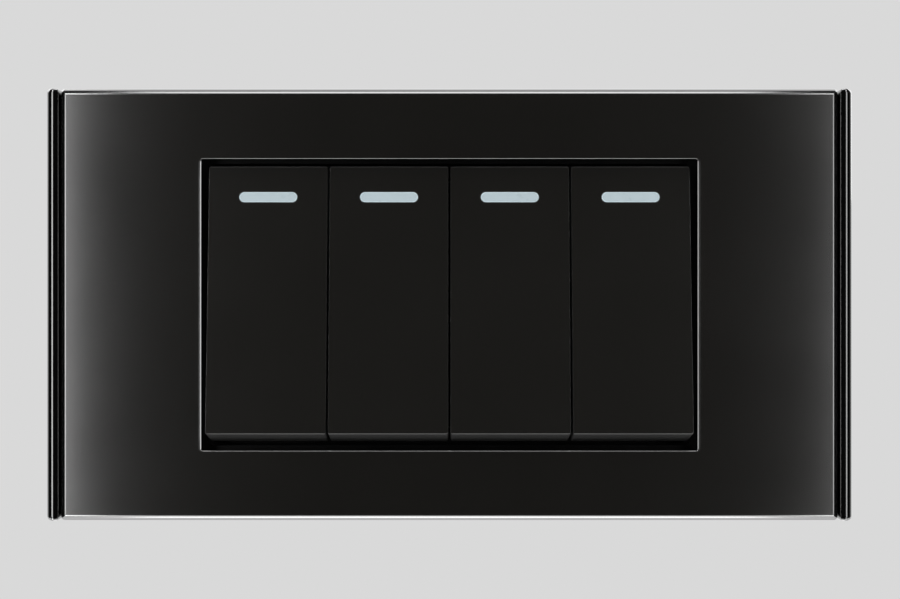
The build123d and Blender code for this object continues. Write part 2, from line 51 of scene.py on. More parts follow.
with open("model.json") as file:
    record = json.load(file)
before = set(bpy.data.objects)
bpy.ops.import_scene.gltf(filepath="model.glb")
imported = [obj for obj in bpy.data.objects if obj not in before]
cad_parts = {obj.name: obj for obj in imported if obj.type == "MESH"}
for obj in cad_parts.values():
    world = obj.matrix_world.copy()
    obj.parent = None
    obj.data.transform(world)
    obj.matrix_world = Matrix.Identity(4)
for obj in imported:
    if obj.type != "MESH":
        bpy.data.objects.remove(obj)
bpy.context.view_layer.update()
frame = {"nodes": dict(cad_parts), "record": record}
GANGS = (1, 2, 3, 4)
MM = 0.001
SUPPORT = 0.015 * MM  # narrow flat step that ends the shading of a rounding
ROUND_STEPS = 10  # steps of a quarter circle
RIM_END = 0.988  # share of the opening's height that the raised side rims take
LEAST_CORNER = 0.05 * MM  # corner radius that is left where a ring shrinks
OUTER_CORNER = 0.2 * MM  # corner radius of the tongues and the plunger barrels
INNER_CORNER = 0.1 * MM  # corner radius of their holes
STEP_WIDTH = 0.0006  # share of the plate's half width over which its rear edge steps back
WELD = 1e-7  # points nearer than this become one
SHARP = math.radians(32)  # edges over this angle stay sharp
BLACK = (0.0, 0.0, 0.0)
DUST = (0.05, 0.05, 0.048)
SIDE_EDGE_HIGHLIGHT = (0.118, 0.118, 0.118)  # painted highlight: metallic colour of lacquered edges that face sideways
LEVEL_EDGE_HIGHLIGHT = (0.62, 0.62, 0.62)  # painted highlight: brighter metallic colour of lacquered edges that face up or down
LINES_ACROSS = (0.06, 1.0, 1.0)  # stretch of a metal's lines along X
LINES_UPRIGHT = (1.0, 1.0, 0.06)  # stretch of a metal's lines along Z


def length(name, description, millimetres):
    """Property for a length, written in millimetres and held in metres."""
    return FloatProperty(
        name=name, description=description, default=millimetres * MM, unit="LENGTH", precision=5
    )


def colour(name, description, rgb):
    """Property for a linear colour."""
    return FloatVectorProperty(
        name=name, description=description, default=rgb, subtype="COLOR", size=3, min=0.0, max=1.0
    )


def tilt(name, description, degrees):
    """Property for an angle, written in degrees and held in radians."""
    return FloatProperty(name=name, description=description, default=math.radians(degrees), subtype="ANGLE")


def strength(name, description, value):
    """Property for the strength of a light."""
    return FloatProperty(name=name, description=description, default=value)


class SwitchShape(bpy.types.PropertyGroup):
    """Sizes of the gloss pieces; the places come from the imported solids."""

    plate_edge: length("Plate edge radius", "Rounding of the plate's front edge", 1.05)
    plate_corner: length("Plate corner radius", "Rounding of the plate's corners, seen from the front", 0.72)
    plate_wall: length("Plate wall", "Thickness of the plate's walls", 2.2)
    plate_bevel: length("Plate bevel", "Bevel of the plate's rear edges", 0.15)
    clip_place: length("Clip place", "Place of the clips, from the plate's middle", 55.95)
    clip_width: length("Clip width", "Width of a clip behind the plate", 6.0)
    opening_width: length("Opening width", "Width of the opening round the rockers", 91.9)
    opening_height: length("Opening height", "Height of the opening round the rockers", 54.107)
    opening_round: length("Opening rounding", "Depth of the opening's rounded edges", 0.1)
    opening_edge: length("Opening edge", "Width of the opening's rounded upper edge", 0.066)
    opening_sill: length("Opening sill", "Width of the opening's rounded lower edge", 0.28)
    opening_side: length("Opening side", "Width of the opening's rounded side edges", 0.03)
    rim_bevel: length("Rim bevel", "Width of the raised side rims' bevel beside the opening", 0.155)
    rim_fall: length("Rim fall", "Width of the side rims' shallow fall to the plate", 0.36)
    rim_bevel_slope: tilt("Rim bevel slope", "Outward slope of the side rims' bevel", 8.0)
    rim_fall_slope: tilt("Rim fall slope", "Outward slope of the side rims' fall", 2.4)
    opening_corner: length("Opening corner radius", "Rounding of the opening's corners", 0.3)
    collar_wall: length("Collar wall", "Thickness of the collar behind the opening", 1.4)
    undercut: length("Opening undercut", "Lean of the opening's walls behind the rim", 0.65)
    collar_back: length("Collar depth", "Distance of the collar's back from the wall", 3.0)
    trim_width: length("Trim width", "Width of a side trim's bar", 2.33)
    trim_round: length("Trim round", "Rounding of a side trim's outer edge", 1.3)
    trim_lip: length("Trim lip", "Rounding of a side trim's edge beside the plate", 0.12)
    trim_end: length("Trim end radius", "Rounding of a side trim's ends", 0.75)
    trim_bevel: length("Trim bevel", "Bevel of a side trim's rear edges", 0.25)
    trim_slope: tilt("Trim slope", "Fall of a side trim's face", 6.1)
    foot_reach: length("Foot reach", "Reach of a trim's foot under the plate", 5.3)
    foot_thickness: length("Foot thickness", "Thickness of a trim's foot", 1.8)
    foot_edge: length("Foot edge radius", "Rounding of a foot's edges", 0.15)
    overlap: length("Overlap", "Depth of one part of a trim in the next", 0.3)
    tongue_place: length("Tongue place", "Height of a trim's tongues, from its middle", 24.0)
    tongue_width: length("Tongue width", "Width of a tongue", 12.0)
    tongue_reach: length("Tongue reach", "Reach of a tongue beyond the foot", 5.0)
    tongue_front: length("Tongue front", "Place of a tongue's front before the wall", 4.0)
    tongue_back: length("Tongue back", "Place of a tongue's back before the wall", 3.0)
    tongue_root: length("Tongue root", "Thickness of a tongue's upright", 1.3)
    tongue_hole: length("Tongue hole", "Width of the square hole in a tongue", 2.6)
    rocker_length: length("Rocker length", "Height of a rocker's front face", 49.8)
    rocker_width: length("Rocker width", "Width of a rocker", 22.1)
    rocker_edge: length("Rocker edge radius", "Rounding of a rocker's front edges", 0.15)
    rocker_side_edge: length("Rocker side edge", "Rounding of a rocker's upright edges", 0.045)
    rocker_corner: length("Rocker corner radius", "Rounding of a rocker's corners", 0.4)
    rocker_skin: length("Rocker skin", "Thickness of a rocker's face", 1.6)
    rocker_wall: length("Rocker wall", "Thickness of a rocker's side walls", 1.1)
    rocker_skirt: length("Rocker skirt", "Depth of a rocker's side walls", 7.0)
    pivot_depth: length("Pivot depth", "Distance of the pivot behind the rocker's face", 10.0)
    pivot_y: length("Pivot place", "Distance of the pivot behind the wall plane", 0.5)
    rest_tilt: tilt("Rest tilt", "Lean of the rockers at rest", 6.0)
    end_draft: tilt("End draft", "Slope of a rocker's end faces", 9.0)
    skirt_bevel: length("Skirt bevel", "Bevel at the back of a rocker's side walls", 0.1)
    slot_lip: length("Slot lip", "Rounding of the slot round the strip", 0.06)
    ear_inner: length("Ear inner side", "Place of an ear's inner side", 8.0)
    ear_outer: length("Ear outer side", "Place of an ear's outer side", 9.6)
    ear_root: length("Ear root", "Width of an ear at the skin", 8.0)
    ear_tip: length("Ear tip", "Width of an ear at its tip", 5.0)
    ear_depth: length("Ear depth", "Depth of an ear's tip behind the pivot", 2.2)
    pin_radius: length("Pin radius", "Radius of a pivot pin", 1.5)
    pin_end: length("Pin end", "Place of a pin's end", 11.05)
    barrel_half: length("Barrel half width", "Half the width of the plunger barrel", 3.08)
    bore_half: length("Bore half width", "Half the width of the barrel's bore", 2.08)
    barrel_end: length("Barrel end", "Depth of the barrel's end behind the pivot", 6.0)
    barrel_floor: length("Barrel floor", "Thickness between the skin and the plunger spring", 1.0)
    plunger_tail: length("Plunger shoulder", "Depth of the plunger's shoulder behind the pivot", 0.2)
    spring_radius: length("Spring radius", "Middle radius of the plunger spring", 1.63)
    spring_wire: length("Spring wire", "Thickness of the plunger spring's wire", 0.5)
    strip_length: length("Strip length", "Length of an indicator strip", 10.8)
    strip_height: length("Strip height", "Height of an indicator strip", 1.93)
    strip_offset: length("Strip offset", "Height of the strip above the pivot", 19.1)
    strip_proud: length("Strip stand-out", "Height of the strip in front of the rocker", 0.1)
    strip_edge: length("Strip edge radius", "Rounding of the strip's edge", 0.28)
    strip_gap: length("Strip gap", "Gap between the strip and the rocker", 0.03)
    flange_length: length("Flange length", "Length of the flange behind the strip", 13.0)
    flange_height: length("Flange height", "Height of the flange behind the strip", 4.0)
    flange_thickness: length("Flange thickness", "Thickness of the flange behind the strip", 0.8)
    flange_edge: length("Flange edge radius", "Rounding of the flange's edges", 0.1)


class SwitchFinish(bpy.types.PropertyGroup):
    """Colours of the finishes."""

    plate_black: colour("Plate black", "Lacquer of the plate", (0.0074, 0.0069, 0.0060))
    # Painted shade: near-black of the walls in the openings and gaps, far darker than the lacquer.
    shaded_wall: colour("Bare wall", "Walls of the openings and gaps", (0.0004, 0.0004, 0.0004))
    trim_black: colour("Trim black", "Lacquer of the side trims", (0.0008, 0.0008, 0.0008))
    rocker_black: colour("Rocker black", "Lacquer of the rockers", (0.0093, 0.0088, 0.0078))
    # Painted light: lighter grey of the rockers' lower ends, which face down.
    lit_rocker_end: colour("Rocker end", "Satin lower ends of the rockers", (0.035, 0.035, 0.034))
    strip_pale: colour("Strip pale", "Pale blue-grey of the indicator strips", (0.434, 0.526, 0.563))
    frame_black: colour("Frame black", "Moulded black of the support frame", (0.014, 0.014, 0.014))
    module_dark: colour("Module dark", "Dark grey of the module caps", (0.016, 0.016, 0.018))
    module_grey: colour("Module grey", "Light grey of the module housings", (0.34, 0.35, 0.36))
    plunger_cream: colour("Plunger cream", "Acetal of the plungers", (0.80, 0.78, 0.72))
    brass: colour("Brass", "Terminal blocks", (0.76, 0.58, 0.27))
    bronze: colour("Bronze", "Contact blades", (0.70, 0.43, 0.24))
    silver: colour("Silver", "Contact tips", (0.84, 0.84, 0.82))
    zinc: colour("Zinc", "Plated terminal screws", (0.66, 0.66, 0.64))
    steel: colour("Spring steel", "Plunger springs", (0.52, 0.52, 0.53))


class SwitchStage(bpy.types.PropertyGroup):
    """Camera, softboxes and background."""

    camera_distance: length("Camera distance", "Distance of the camera from the wall plane", 301.0)
    camera_x: length("Camera shift across", "Sideways place of the camera", 0.11)
    camera_z: length("Camera height", "Height of the camera over the middle of the plate", 0.97)
    lens: FloatProperty(name="Lens", description="Focal length in millimetres", default=63.06, unit="CAMERA")
    backdrop: colour("Backdrop", "Pale grey behind the switch", (0.694, 0.694, 0.694))
    left_light: strength("Left light", "Radiance of the softboxes on the left", 2.9)
    right_light: strength("Right light", "Radiance of the softboxes on the right", 1.9)
    top_light: strength("Top light", "Radiance of the top softbox", 0.93)
    bottom_light: strength("Bottom light", "Radiance of the bottom softbox", 0.93)
    rear_left_light: strength("Rear left light", "Radiance of the softbox behind on the left", 1.6)
    rear_right_light: strength("Rear right light", "Radiance of the softbox behind on the right", 1.1)
    front_fill: strength("Front fill", "Soft light from before the switch", 0.76)
    rear_fill: strength("Rear fill", "Soft light from behind the switch", 0.75)
    front_dark: strength("Front dark", "What the gloss mirrors of the room before the switch", 0.008)
    floor_reach: length("Floor reach", "Half the width of the floor", 1500.0)
    floor_drop: length("Floor drop", "Depth of the floor under the switch's middle", 550.0)
    floor_glow: strength("Floor glow", "Share of the backdrop's colour added to the floor", 0.1)


# Surfaces


def outline_columns(across, upright, corner_steps):
    """Columns of a rounded rectangle: corner signs (sx, sz) and unit offsets (ux, uz).

    A column lies at x = sx (a - c) + ux c and z = sz (b - c) + uz c for half sizes a, b and corner radius c.
    """
    arc = np.linspace(0.0, np.pi / 2, corner_steps + 1)
    blocks = []
    for quarter, (sx, sz) in enumerate(((1, 1), (-1, 1), (-1, -1), (1, -1))):
        angle = arc + quarter * np.pi / 2
        ones = np.ones_like(angle)
        blocks.append(np.stack([sx * ones, sz * ones, np.cos(angle), np.sin(angle)], axis=1))
        turn = 1.0 if quarter < 2 else -1.0
        along = np.asarray(across if quarter % 2 == 0 else upright)
        ones = np.ones_like(along)
        last = angle[-1]
        if quarter % 2 == 0:
            side = [turn * along, turn * ones]
        else:
            side = [-turn * ones, turn * along]
        blocks.append(np.stack(side + [np.cos(last) * ones, np.sin(last) * ones], axis=1))
    return np.concatenate(blocks)


def even_steps(count):
    """Evenly spaced inner places of a side, from +1 towards -1."""
    return np.linspace(1.0, -1.0, count + 2)[1:-1]


PLAIN_COLUMNS = outline_columns(even_steps(3), even_steps(3), 8)


def ring_grid(columns, rings):
    """Grid of rounded rectangles, each from a row (a, b, c, y, x0, z0): half sizes, corner, depth, centre."""
    sx, sz, ux, uz = columns.T
    a, b, c, y, x0, z0 = (np.asarray(rings, float)[:, k, None] for k in range(6))
    x = x0 + sx * (a - c) + ux * c
    z = z0 + sz * (b - c) + uz * c
    return np.stack([x, y + 0.0 * x, z], axis=-1)


def profile_rings(profile):
    """Rows for ring_grid from the parts of a profile, each of which gives the six values."""
    return np.concatenate([np.stack([np.atleast_1d(v) for v in part], axis=1) for part in profile])


def grid_shell(grid, looped):
    """Closed shell over a grid of rings: looped rings join the last to the first, others get end caps."""
    rows, count = grid.shape[:2]
    index = np.arange(rows * count).reshape(rows, count)
    here = index if looped else index[:-1]
    above = np.roll(index, -1, axis=0) if looped else index[1:]
    quads = np.stack([here, np.roll(here, -1, axis=1), np.roll(above, -1, axis=1), above], axis=-1)
    faces = quads.reshape(-1, 4).tolist()
    if not looped:
        faces += [index[0, ::-1].tolist(), index[-1].tolist()]
    return grid.reshape(-1, 3), faces


def prism(outline, low, high):
    """Closed prism: an outline of (y, z) points carried along X from low to high."""
    points = np.asarray(outline, float)
    ends = [np.column_stack([np.full(len(points), x), points]) for x in (low, high)]
    return grid_shell(np.stack(ends), False)


def quarter_round(radius):
    """Inset and rise along a quarter circle, from the wall (0, 0) to the face (radius, radius)."""
    turn = np.linspace(0.0, np.pi / 2, ROUND_STEPS + 1)
    return radius * (1.0 - np.cos(turn)), radius * np.sin(turn)


def block(low, high, radius):
    """Box with rounded edges: rounded rectangles that shrink over a quarter circle at both ends."""
    low, high = np.asarray(low, float), np.asarray(high, float)
    half = (high - low) / 2
    middle = (high + low) / 2
    inset, rise = quarter_round(radius)
    shrink = np.concatenate([inset[::-1], inset])
    depth = np.concatenate([low[1] + radius - rise[::-1], high[1] - radius + rise])
    corner = np.maximum(radius - shrink, 0.02 * radius)
    rings = np.broadcast_arrays(half[0] - shrink, half[2] - shrink, corner, depth, middle[0], middle[2])
    return grid_shell(ring_grid(PLAIN_COLUMNS, profile_rings([rings])), False)


def coil(radius, wire, low, high, turns):
    """Closed round wire of radius w along a helix (r cos t, y, r sin t), with closer turns at its ends.

    Its centre rises as s - 0.08 sin(2 pi s) from low + w to high - w. A ring is cos outward + sin upright.
    """
    steps_in_turn, points_in_ring, closing = 32, 16, 0.08
    share = np.linspace(0.0, 1.0, steps_in_turn * turns + 1)
    turn = 2 * np.pi * turns * share
    rise = share - closing * np.sin(2 * np.pi * share)
    outward = np.column_stack([np.cos(turn), np.zeros_like(turn), np.sin(turn)])
    centre = radius * outward
    centre[:, 1] = low + wire + (high - low - 2 * wire) * rise
    upright = np.cross(outward, np.gradient(centre, axis=0))
    upright /= np.linalg.norm(upright, axis=1, keepdims=True)
    around = np.linspace(0.0, 2 * np.pi, points_in_ring, endpoint=False)[None, :, None]
    ring = np.cos(around) * outward[:, None] + np.sin(around) * upright[:, None]
    return grid_shell(centre[:, None] + wire * ring, False)


def make_piece(name, shells, surface, body, node):
    """Mesh object from closed shells that rides on a body and stands for a CAD node."""
    starts = np.cumsum([0] + [len(points) for points, _ in shells])
    points = np.concatenate([points for points, _ in shells])
    faces = [[v + start for v in face] for start, (_, part) in zip(starts, shells) for face in part]
    mesh = bpy.data.meshes.new(name)
    mesh.from_pydata(points.tolist(), [], faces)
    bm = bmesh.new()
    bm.from_mesh(mesh)
    bmesh.ops.remove_doubles(bm, verts=bm.verts, dist=WELD)
    bmesh.ops.recalc_face_normals(bm, faces=bm.faces)
    bm.to_mesh(mesh)
    bm.free()
    mesh.shade_smooth()
    mesh.set_sharp_from_angle(angle=SHARP)
    mesh.materials.append(surface)
    piece = bpy.data.objects.new(name, mesh)
    bpy.context.scene.collection.objects.link(piece)
    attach(piece, body)
    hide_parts(node)
    return piece


# Finishes


class Value:
    """Output socket whose arithmetic adds Math nodes to its tree."""

    def __init__(self, finish, socket):
        self.finish = finish
        self.socket = socket

    def maths(self, operation, first, second):
        return self.finish.add("ShaderNodeMath", {"operation": operation}, {0: first, 1: second})

    def __add__(self, other):
        return self.maths("ADD", self, other)

    def __radd__(self, other):
        return self.maths("ADD", other, self)

    def __sub__(self, other):
        return self.maths("SUBTRACT", self, other)

    def __mul__(self, other):
        return self.maths("MULTIPLY", self, other)


class Finish:
    """Nodes of a material with a Principled shader, or of the world, and one method that adds any node."""

    def __init__(self, name, tree=None):
        if tree is None:
            self.material = bpy.data.materials.new(name)
            self.material.use_nodes = True
            tree = self.material.node_tree
        self.tree = tree
        self.shader = tree.nodes.get("Principled BSDF")

    def add(self, kind, settings=None, sockets=None, out=0):
        """Adds a node: its settings first, then the values or links of its sockets; gives one output."""
        node = self.tree.nodes.new(kind)
        for key, value in (settings or {}).items():
            setattr(node, key, value)
        for key, value in (sockets or {}).items():
            self.feed(node.inputs[key], value)
        return Value(self, node.outputs[out])

    def feed(self, socket, value):
        """Links a Value to a socket, or sets a plain number or colour on it."""
        if isinstance(value, Value):
            self.tree.links.new(value.socket, socket)
        elif socket.type == "RGBA":
            socket.default_value = (*value[:3], 1.0)
        else:
            socket.default_value = value

    def set(self, **sockets):
        """Feeds the shader's sockets, with _ for a space in a socket's name."""
        for key, value in sockets.items():
            self.feed(self.shader.inputs[key.replace("_", " ")], value)

    def place(self, scale):
        """Object coordinates, stretched by a scale on each axis."""
        here = self.add("ShaderNodeTexCoord", out="Object")
        return self.add("ShaderNodeMapping", sockets={"Vector": here, "Scale": scale})

    def facing(self):
        """Object's own normal."""
        return self.add("ShaderNodeTexCoord", out="Normal")

    def part(self, vector, axis):
        """One component of a vector."""
        return self.add("ShaderNodeSeparateXYZ", sockets={0: vector}, out=axis)

    def noise(self, scale, detail, stretch=(1.0, 1.0, 1.0)):
        """Noise from 0 to 1 with so many waves in a metre."""
        sockets = {"Vector": self.place(stretch), "Scale": scale, "Detail": detail, "Roughness": 0.55}
        return self.add("ShaderNodeTexNoise", {"noise_dimensions": "3D"}, sockets)

    def span(self, value, low, high, to_low, to_high):
        """Value from low to high, mapped to another span and held at its ends."""
        sockets = {"Value": value, "From Min": low, "From Max": high, "To Min": to_low, "To Max": to_high}
        return self.add("ShaderNodeMapRange", {"clamp": True}, sockets)

    def blend(self, factor, first, second):
        """Colour between two colours."""
        sockets = {0: factor, 6: first, 7: second}
        return self.add("ShaderNodeMix", {"data_type": "RGBA"}, sockets, out=2)

    def bump(self, height, distance):
        """Normal from a height, with its depth in metres."""
        return self.add("ShaderNodeBump", sockets={"Height": height, "Distance": distance, "Strength": 1.0})


def shade(rgb, factor):
    """Colour made lighter or darker, held at 1."""
    return tuple(min(1.0, channel * factor) for channel in rgb)


def gloss_lacquer(name, rgb, roughness, walls=None, face=(0.0, -1.0, 0.0)):
    """Black lacquer over plastic: faint haze, tiny dust specks, a slight ripple and a painted highlight on
    its edges.

    Walls are their colour, the colour of those that face down, a roughness and the two values of the
    normal's Y between which the lacquer ends; their near-black colour is painted shade and the lighter colour
    of those that face down is painted light. Edges are where the normal leaves that of the flat face; their
    metallic colour, brighter where they face up or down, is a painted highlight.
    """
    finish = Finish(name)
    haze = finish.noise(55.0, 2.0)
    grain = finish.noise(5200.0, 1.0)
    speck = finish.span(grain, 0.80, 0.86, 0.0, 0.35)
    tone = finish.blend(haze, shade(rgb, 0.92), shade(rgb, 1.08))
    tone = finish.blend(speck, tone, DUST)
    sheen = finish.span(haze, 0.3, 0.7, roughness - 0.008, roughness + 0.008)
    facing = finish.facing()
    depth, rise = finish.part(facing, "Y"), finish.part(facing, "Z")
    level = finish.add("ShaderNodeVectorMath", {"operation": "DOT_PRODUCT"}, {0: facing, 1: face}, "Value")
    edge = finish.span(level, 0.9985, 0.99995, 1.0, 0.0) * finish.span(depth, -0.6, -0.3, 1.0, 0.0)
    # Painted highlight: the edges get a metallic colour, brighter where they face up or down, that stands for
    # the softboxes' highlights.
    edge_highlight = finish.blend(finish.span(rise * rise, 0.0, 0.02, 0.0, 1.0), SIDE_EDGE_HIGHLIGHT, LEVEL_EDGE_HIGHLIGHT)
    tone = finish.blend(edge, tone, edge_highlight)
    coat = 1.0
    if walls is not None:
        # Painted shade and light: walls get a near-black colour, and those that face down a lighter colour
        # that paints their lit side.
        wall_shade, lower, bare_roughness, full, gone = walls
        coat = finish.span(depth, full, gone, 1.0, 0.0)
        wear_and_lit_end = finish.blend(haze, shade(lower, 0.85), shade(lower, 1.15))
        wall = finish.blend(finish.span(rise, -0.6, -0.2, 0.0, 1.0), wear_and_lit_end, wall_shade)
        tone = finish.blend(coat, wall, tone)
        sheen = bare_roughness + coat * (sheen - bare_roughness)
        edge = edge * coat
    finish.set(
        Base_Color=tone,
        Metallic=edge,
        Roughness=sheen,
        Normal=finish.bump(finish.noise(900.0, 2.0), 0.00000003),
        Specular_IOR_Level=1.0,
        Coat_Weight=coat,
        Coat_Roughness=roughness,
        Coat_IOR=1.6,
    )
    return finish.material


def pale_lens(name, rgb):
    """Pale moulding: a soft mottle, a satin face and a painted highlight on its rounded edge."""
    finish = Finish(name)
    mottle = finish.noise(420.0, 3.0)
    depth = finish.part(finish.facing(), "Y")
    tone = finish.blend(mottle, shade(rgb, 0.95), shade(rgb, 1.05))
    finish.set(
        # Painted highlight: the rounded edge is 1.6 times paler than the face.
        Base_Color=finish.blend(finish.span(depth, -0.98, -0.85, 0.0, 1.0), tone, shade(rgb, 1.6)),
        Roughness=finish.span(mottle, 0.3, 0.7, 0.26, 0.34),
        Normal=finish.bump(finish.noise(2600.0, 2.0), 0.0000008),
        Specular_IOR_Level=0.5,
    )
    return finish.material


def moulded_plastic(name, rgb, roughness, texture, front=1.0, gloss=0.5):
    """Spark-eroded moulding: a fine even texture, flow marks and paler worn high spots.

    Texture is its depth in metres. Front is the share of the colour that is left on faces towards the room,
    deep in the dark recess; the rest is painted shade, blended towards black.
    """
    finish = Finish(name)
    grain = finish.noise(3800.0, 2.0)
    flow = finish.noise(90.0, 3.0, (1.0, 1.0, 0.35))
    wear_and_lit_end = finish.span(grain, 0.62, 0.8, 0.0, 0.25)
    tone = finish.blend(flow, shade(rgb, 0.86), shade(rgb, 1.12))
    tone = finish.blend(wear_and_lit_end, tone, shade(rgb, 1.5))
    depth = finish.part(finish.facing(), "Y")
    finish.set(
        # Painted shade: faces towards the room are blended towards black.
        Base_Color=finish.blend(finish.span(depth, -0.6, -0.2, 1.0 - front, 0.0), tone, BLACK),
        Roughness=finish.span(flow, 0.3, 0.7, roughness - 0.06, roughness + 0.06),
        Normal=finish.bump(grain, texture),
        Specular_IOR_Level=gloss,
    )
    return finish.material


def drawn_metal(name, rgb, roughness, stretch, tarnish):
    """Drawn or stamped metal: fine lines along one axis and darker tarnish in patches."""
    finish = Finish(name)
    lines = finish.noise(2400.0, 3.0, stretch)
    patch = finish.noise(260.0, 3.0)
    stain = finish.span(patch, 0.5, 0.75, 0.0, tarnish)
    bright = finish.blend(lines, shade(rgb, 0.9), shade(rgb, 1.08))
    finish.set(
        Base_Color=finish.blend(stain, bright, shade(rgb, 0.42)),
        Roughness=finish.span(lines, 0.3, 0.7, roughness - 0.07, roughness + 0.09) + stain * 0.2,
        Normal=finish.bump(lines, 0.0000022),
        Metallic=1.0,
    )
    return finish.material


# Pieces


class PieceOperator:
    """Shared parts of the operators that build pieces."""

    bl_options = {"REGISTER", "UNDO"}

    def execute(self, context):
        made = self.build(context.scene.switch_shape, context.scene.switch_finish)
        if not made:
            raise RuntimeError(f"{self.bl_label}: nothing was built")
        return {"FINISHED"}


class SWITCH_OT_face_plate(PieceOperator, bpy.types.Operator):
    """Build the gloss plate: one profile carried round both the outline and the opening"""

    bl_idname = "switch.face_plate"
    bl_label = "Face plate"

    def build(self, shape, finish):
        low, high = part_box("face_plate")
        half_x, half_z = (high.x - low.x) / 2, (high.z - low.z) / 2
        front, back, bevel = low.y, high.y, shape.plate_bevel
        hole_x, hole_z = shape.opening_width / 2, shape.opening_height / 2
        foot_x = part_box("support_frame")[1].x
        step = foot_x / (half_x - shape.plate_corner)
        step_end = step - STEP_WIDTH

        def outer(inset, depth):
            corner = np.maximum(shape.plate_corner - inset, LEAST_CORNER)
            return np.broadcast_arrays(half_x - inset, half_z - inset, corner, depth, 0.0, 0.0)

        def inner(across, above, below, depth):
            corner = shape.opening_corner + np.minimum(across, above)
            half, shift = hole_z + (above + below) / 2, (above - below) / 2
            return np.broadcast_arrays(hole_x + across, half, corner, depth, 0.0, shift)

        hole_inset, hole_rise = quarter_round(1.0)
        rim_kinks = np.array([0.0, shape.rim_bevel, shape.rim_bevel + shape.rim_fall])
        fall_height = shape.rim_fall * math.tan(shape.rim_fall_slope)
        rim_levels = [fall_height + shape.rim_bevel * math.tan(shape.rim_bevel_slope), fall_height, 0.0]
        rim_across = rim_kinks[[0, 0, 1, 1, 2, 2, 2]] + SUPPORT * np.array([0, 1, -1, 1, -1, 1, 2])
        rim_height = np.interp(rim_across, rim_kinks, rim_levels)
        rim_start = 2 + ROUND_STEPS
        rim_sizes = (shape.opening_side, shape.opening_edge, shape.opening_sill)
        edge_inset, edge_rise = quarter_round(shape.plate_edge)
        inner_face = front + shape.plate_wall
        collar = -shape.collar_back
        profile = [
            inner(0.0, 0.0, 0.0, front + shape.opening_round + SUPPORT),
            inner(*(size * hole_inset for size in rim_sizes), front + shape.opening_round * (1 - hole_rise)),
            inner(*(size + SUPPORT + rim_across for size in rim_sizes), front),
            outer(shape.plate_edge + SUPPORT, front),
            outer(edge_inset[::-1], front + shape.plate_edge - edge_rise[::-1]),
            outer(0.0, front + shape.plate_edge + SUPPORT),
            outer(np.array([0.0, bevel]), np.array([back - bevel, back])),
            outer(np.array([shape.plate_wall - bevel, shape.plate_wall]), np.array([back, back - bevel])),
            outer(shape.plate_wall, inner_face),
            inner(*(shape.collar_wall,) * 3, np.array([inner_face, collar])),
            inner(*(shape.undercut,) * 3, collar),
        ]
        rings = profile_rings(profile)
        across = np.concatenate([even_steps(29), [step, step_end, -step, -step_end]])
        upright = np.concatenate([[RIM_END], even_steps(15), [-RIM_END]])
        columns = outline_columns(np.sort(across)[::-1], upright, 12)
        grid = ring_grid(columns, rings)
        rim_rows = slice(rim_start, rim_start + len(rim_height))
        sides = (np.abs(columns[:, 1]) < 1.0) * columns[:, 2] ** 2
        grid[rim_rows, :, 1] -= rim_height[:, None] * sides
        # The plate's rear edge stops short of the wall beside the feet of the trims.
        rear_edge = rings[:, 3] > back - 2 * bevel
        beside = np.abs(columns[:, 0]) > (step + step_end) / 2
        grid[np.ix_(rear_edge, beside, [1])] -= shape.foot_thickness
        shells = [grid_shell(grid, True), *self.clips(shape, inner_face)]
        # Painted shade: the opening's walls are near-black all round.
        walls = (finish.shaded_wall, finish.shaded_wall, 0.03, -0.25, -0.08)
        surface = gloss_lacquer("plate_gloss", finish.plate_black, 0.12, walls)
        return make_piece("plate_surface", shells, surface, "switch_body", "face_plate")

    def clips(self, shape, root):
        """Clips behind the plate: a leg with a hook as an outline of (y, z), carried across the clip."""
        hook_y = np.array([root, -0.25 * MM, -0.25 * MM, -1.5 * MM, -1.5 * MM, root])
        hook_z = np.array([25.3, 25.3, 26.7, 27.4, 26.7, 26.7]) * MM
        half = shape.clip_width / 2
        return [
            prism(np.column_stack([hook_y, sign * hook_z]), clip_x - half, clip_x + half)
            for clip_x in (-shape.clip_place, shape.clip_place)
            for sign in (-1, 1)
        ]


